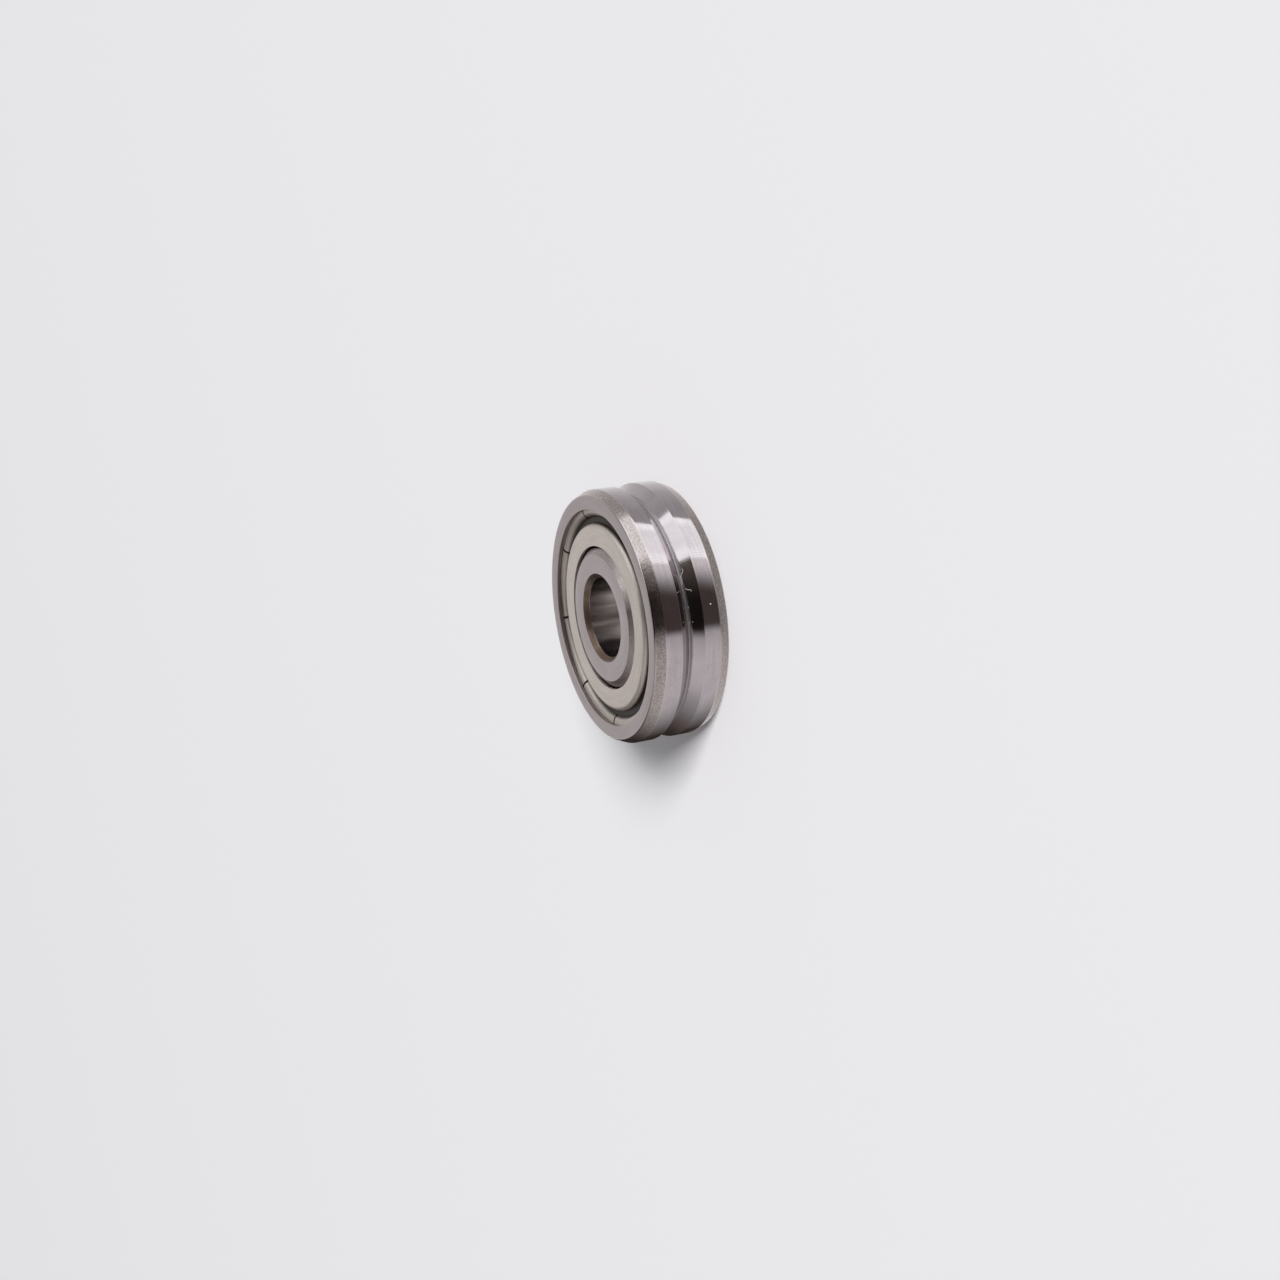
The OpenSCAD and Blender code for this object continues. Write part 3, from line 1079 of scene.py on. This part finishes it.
class WHEEL_OT_lint(WheelOperator, bpy.types.Operator):
    """Lay the fibres and specks on the groove"""

    bl_idname = "wheel.lint"
    bl_label = "Lint"

    def execute(self, context):
        lint = settings().lint
        curve = bpy.data.curves.new("lint", "CURVE")
        curve.dimensions = "3D"
        curve.bevel_depth = lint.thickness / 2
        curve.bevel_resolution = 2
        curve.use_fill_caps = True
        for path in FIBRES:
            fibre = curve.splines.new("NURBS")
            fibre.points.add(len(path) - 1)
            for point, (turn, z) in zip(fibre.points, path):
                point.co = (*on_wheel(turn, z, lint.lift), 1.0)
            fibre.use_endpoint_u = True
            fibre.order_u = 3
        mesh = mesh_of(placed("lint fibres", curve))
        shell = bmesh.new()
        shell.from_mesh(mesh)
        bmesh.ops.remove_doubles(shell, verts=shell.verts, dist=SEAM)
        for turn, z, width in SPECKS:
            place = Matrix.Translation(on_wheel(turn, z, 0.0))
            bmesh.ops.create_icosphere(shell, subdivisions=2, radius=width * MM / 2, matrix=place)
        shell.to_mesh(mesh)
        shell.free()
        mesh.materials.append(MATERIALS["lint"])
        piece = finished("lint", mesh)
        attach(piece, "wheel")
        return {"FINISHED"}


class WHEEL_OT_stage(WheelOperator, bpy.types.Operator):
    """Set the floor, the studio's light and the camera"""

    bl_idname = "wheel.stage"
    bl_label = "Stage"

    def execute(self, context):
        studio = settings().studio
        self.lay_floor(studio)
        self.light(studio)
        self.hang_lamp(studio)
        self.place_camera(studio)
        context.scene.view_settings.view_transform = "Standard"
        return {"FINISHED"}

    def lay_floor(self, studio):
        """A pale floor under the wheel; it is clear to steel, which mirrors the studio instead."""
        half = studio.floor_w / 2
        corners = [(-half, -half), (half, -half), (half, half), (-half, half)]
        mesh = bpy.data.meshes.new("floor")
        mesh.from_pydata([(x, y, -HALF_W) for x, y in corners], [], [(0, 1, 2, 3)])
        floor = placed("floor", mesh)
        material = bpy.data.materials.new("Pale floor")
        material.use_nodes = True
        w = Wiring(material.node_tree)
        shader = material.node_tree.nodes["Principled BSDF"]
        shader.inputs["Base Color"].default_value = (*studio.floor_colour, 1.0)
        shader.inputs["Roughness"].default_value = 1.0
        shader.inputs["Specular IOR Level"].default_value = 0.0
        path = w.add("ShaderNodeLightPath").outputs["Is Glossy Ray"]
        clear = w.take("ShaderNodeBsdfTransparent")
        seen = w.take("ShaderNodeMixShader", path, shader.outputs[0], clear)
        end = material.node_tree.nodes["Material Output"]
        w.feed(end.inputs["Surface"], seen)
        mesh.materials.append(material)

    def light(self, studio):
        """An even sky for the floor, and a table, a wall and a soft box for the steel to mirror."""
        world = bpy.data.worlds.new("Studio")
        world.use_nodes = True
        bpy.context.scene.world = world
        nodes = world.node_tree.nodes
        w = Wiring(world.node_tree)
        way = w.vector("NORMALIZE", w.add("ShaderNodeTexCoord").outputs["Generated"])
        up = w.vector("DOT_PRODUCT", way, wheel_way(UP_TURN))
        near = w.vector("DOT_PRODUCT", way, wheel_way(NEAR_TURN))
        left = w.add("ShaderNodeSeparateXYZ", way).outputs["Z"]

        def over(plane):
            """How far a direction lies on the upper side of a plane."""
            terms = [w.times(*pair) for pair in zip((up, near, left), plane)]
            return w.plus(w.plus(terms[0], terms[1]), terms[2])

        def within(*limits):
            """Full where each value has passed its limit."""
            steps = [w.span(value, *limit) for value, limit in limits]
            return w.times(*steps)

        over_front, over_box = over(FRONT_PLANE), over(BOX_PLANE)
        front = w.span(over_front, *FRONT_EDGE)

        # The front: a room that glows towards the soft box, and ends in a plain right end
        right = w.span(left, *RIGHT_END)
        dark_room = w.blend(right, RIGHT_END_LIGHT, w.span(left, *ROOM_LIGHT))
        glow = within((over_box, GLOW_RISE), (left, GLOW_LIGHT))
        room = w.plus(dark_room, w.times(glow, right))
        box = w.times(w.span(over_box, *BOX_EDGE), right)
        rims = w.math("MAXIMUM", w.span(over_box, *BOX_FOOT), w.span(over_front, *BOX_SIDE))
        front_light = w.blend(box, room, w.math("MULTIPLY_ADD", rims, BOX_RIM_LIGHT, BOX_LIGHT))

        # The back: a wall, brightest where it is seen along the line of sight
        slope = w.math("MULTIPLY_ADD", left, *WALL_SLOPE)
        wall = w.math("MULTIPLY_ADD", w.times(near, near), slope, WALL_LIGHT)
        upright = w.blend(front, wall, front_light)

        # The table: it carries the wheel's shadow and a dull dip
        lit = w.math("MAXIMUM", w.span(near, *SHADOW_DEPTH), w.span(left, *SHADOW_END))
        dip = within((left, DIP_START), (left, DIP_END))
        table = w.times(w.span(up, *TABLE_LIGHT), w.blend(dip, 1.0, DIP_TONE))
        around = w.blend(w.span(up, *TABLE_EDGE), upright, w.times(lit, table))

        # A gloomy corner at the far foot, and a slightly dull left end
        corner = within((near, CORNER_DEPTH), (up, CORNER_TOP))
        beside = within((left, CORNER_LEFT), (left, CORNER_RIGHT))
        gloomy = w.blend(w.times(corner, beside), around, CORNER_LIGHT)
        seen = w.times(gloomy, w.span(left, *LEFT_END))

        path = w.add("ShaderNodeLightPath").outputs
        glossy = w.math("MAXIMUM", path["Is Glossy Ray"], path["Is Transmission Ray"])
        strength = w.blend(glossy, studio.sky, seen)
        w.feed(nodes["Background"].inputs["Strength"], strength)
        cool = w.times(glossy, w.times(front, box))
        warm = w.times(glossy, w.span(seen, *WARM_BELOW))
        colour_seen = w.tint(warm, w.tint(cool, WHITE, BOX_WHITE), GLOOM_BROWN)
        w.feed(nodes["Background"].inputs["Color"], colour_seen)

    def hang_lamp(self, studio):
        """One large soft lamp, which only the floor and the shadow need."""
        lamp = bpy.data.lights.new("Soft lamp", "AREA")
        lamp.size = LAMP_SIZE
        place = Vector((0, 0, math.sin(LAMP_RISE)))
        place += math.cos(LAMP_RISE) * wheel_way(NEAR_TURN + LAMP_TURN)
        # The power that lights a white floor to the lamp's strength
        lamp.energy = math.pi ** 2 * studio.lamp * LAMP_AWAY ** 2 / place.z
        holder = placed("Soft lamp", lamp)
        holder.location = place * LAMP_AWAY
        holder.rotation_euler = (-place).to_track_quat("-Z", "Y").to_euler()
        holder.visible_glossy = False

    def place_camera(self, studio):
        """A camera turned about its own line of sight, so that the wheel stands upright."""
        turn = studio.azimuth - math.pi / 2
        place = wheel_way(turn) * math.cos(studio.elevation)
        place.z = math.sin(studio.elevation)
        camera = bpy.data.cameras.new("Camera")
        camera.lens = studio.lens
        camera.clip_start = NEAR_CLIP
        holder = placed("Camera", camera)
        holder.location = place * studio.distance
        aim = (-place).to_track_quat("-Z", "Y")
        aim @= Quaternion((0, 0, 1), studio.roll)
        aim @= Quaternion((1, 0, 0), -studio.aim_down)
        aim @= Quaternion((0, 1, 0), -studio.aim_right)
        holder.rotation_euler = aim.to_euler()
        bpy.context.scene.camera = holder


class WHEEL_PT_panel(bpy.types.Panel):
    """The wheel's settings, and a button for each of its pieces"""

    bl_idname = "WHEEL_PT_panel"
    bl_label = "V groove wheel"
    bl_space_type = "VIEW_3D"
    bl_region_type = "UI"
    bl_category = "Wheel"

    def draw(self, context):
        for name in ("ring", "shield", "steel", "lint", "studio"):
            box = self.layout.box()
            group = getattr(context.scene.groove_wheel, name)
            for setting in group.__annotations__:
                box.prop(group, setting)
        for operator in OPERATORS:
            self.layout.operator(operator.bl_idname)


OPERATORS = (
    WHEEL_OT_materials,
    WHEEL_OT_outer_ring,
    WHEEL_OT_inner_ring,
    WHEEL_OT_shields,
    WHEEL_OT_inside,
    WHEEL_OT_lint,
    WHEEL_OT_stage,
)
SETTINGS = (RingSizes, ShieldSizes, SteelColours, LintSettings, StudioSettings, WheelSettings)
CLASSES = (*SETTINGS, *OPERATORS, WHEEL_PT_panel)


def register():
    for kind in CLASSES:
        bpy.utils.register_class(kind)
    bpy.types.Scene.groove_wheel = PointerProperty(type=WheelSettings)


def unregister():
    del bpy.types.Scene.groove_wheel
    for kind in reversed(CLASSES):
        bpy.utils.unregister_class(kind)


def main():
    register()
    bpy.ops.wheel.materials()
    bpy.ops.wheel.outer_ring()
    bpy.ops.wheel.inner_ring()
    bpy.ops.wheel.shields()
    bpy.ops.wheel.inside()
    bpy.ops.wheel.lint()
    bpy.ops.wheel.stage()


if __name__ == "__main__":
    main()
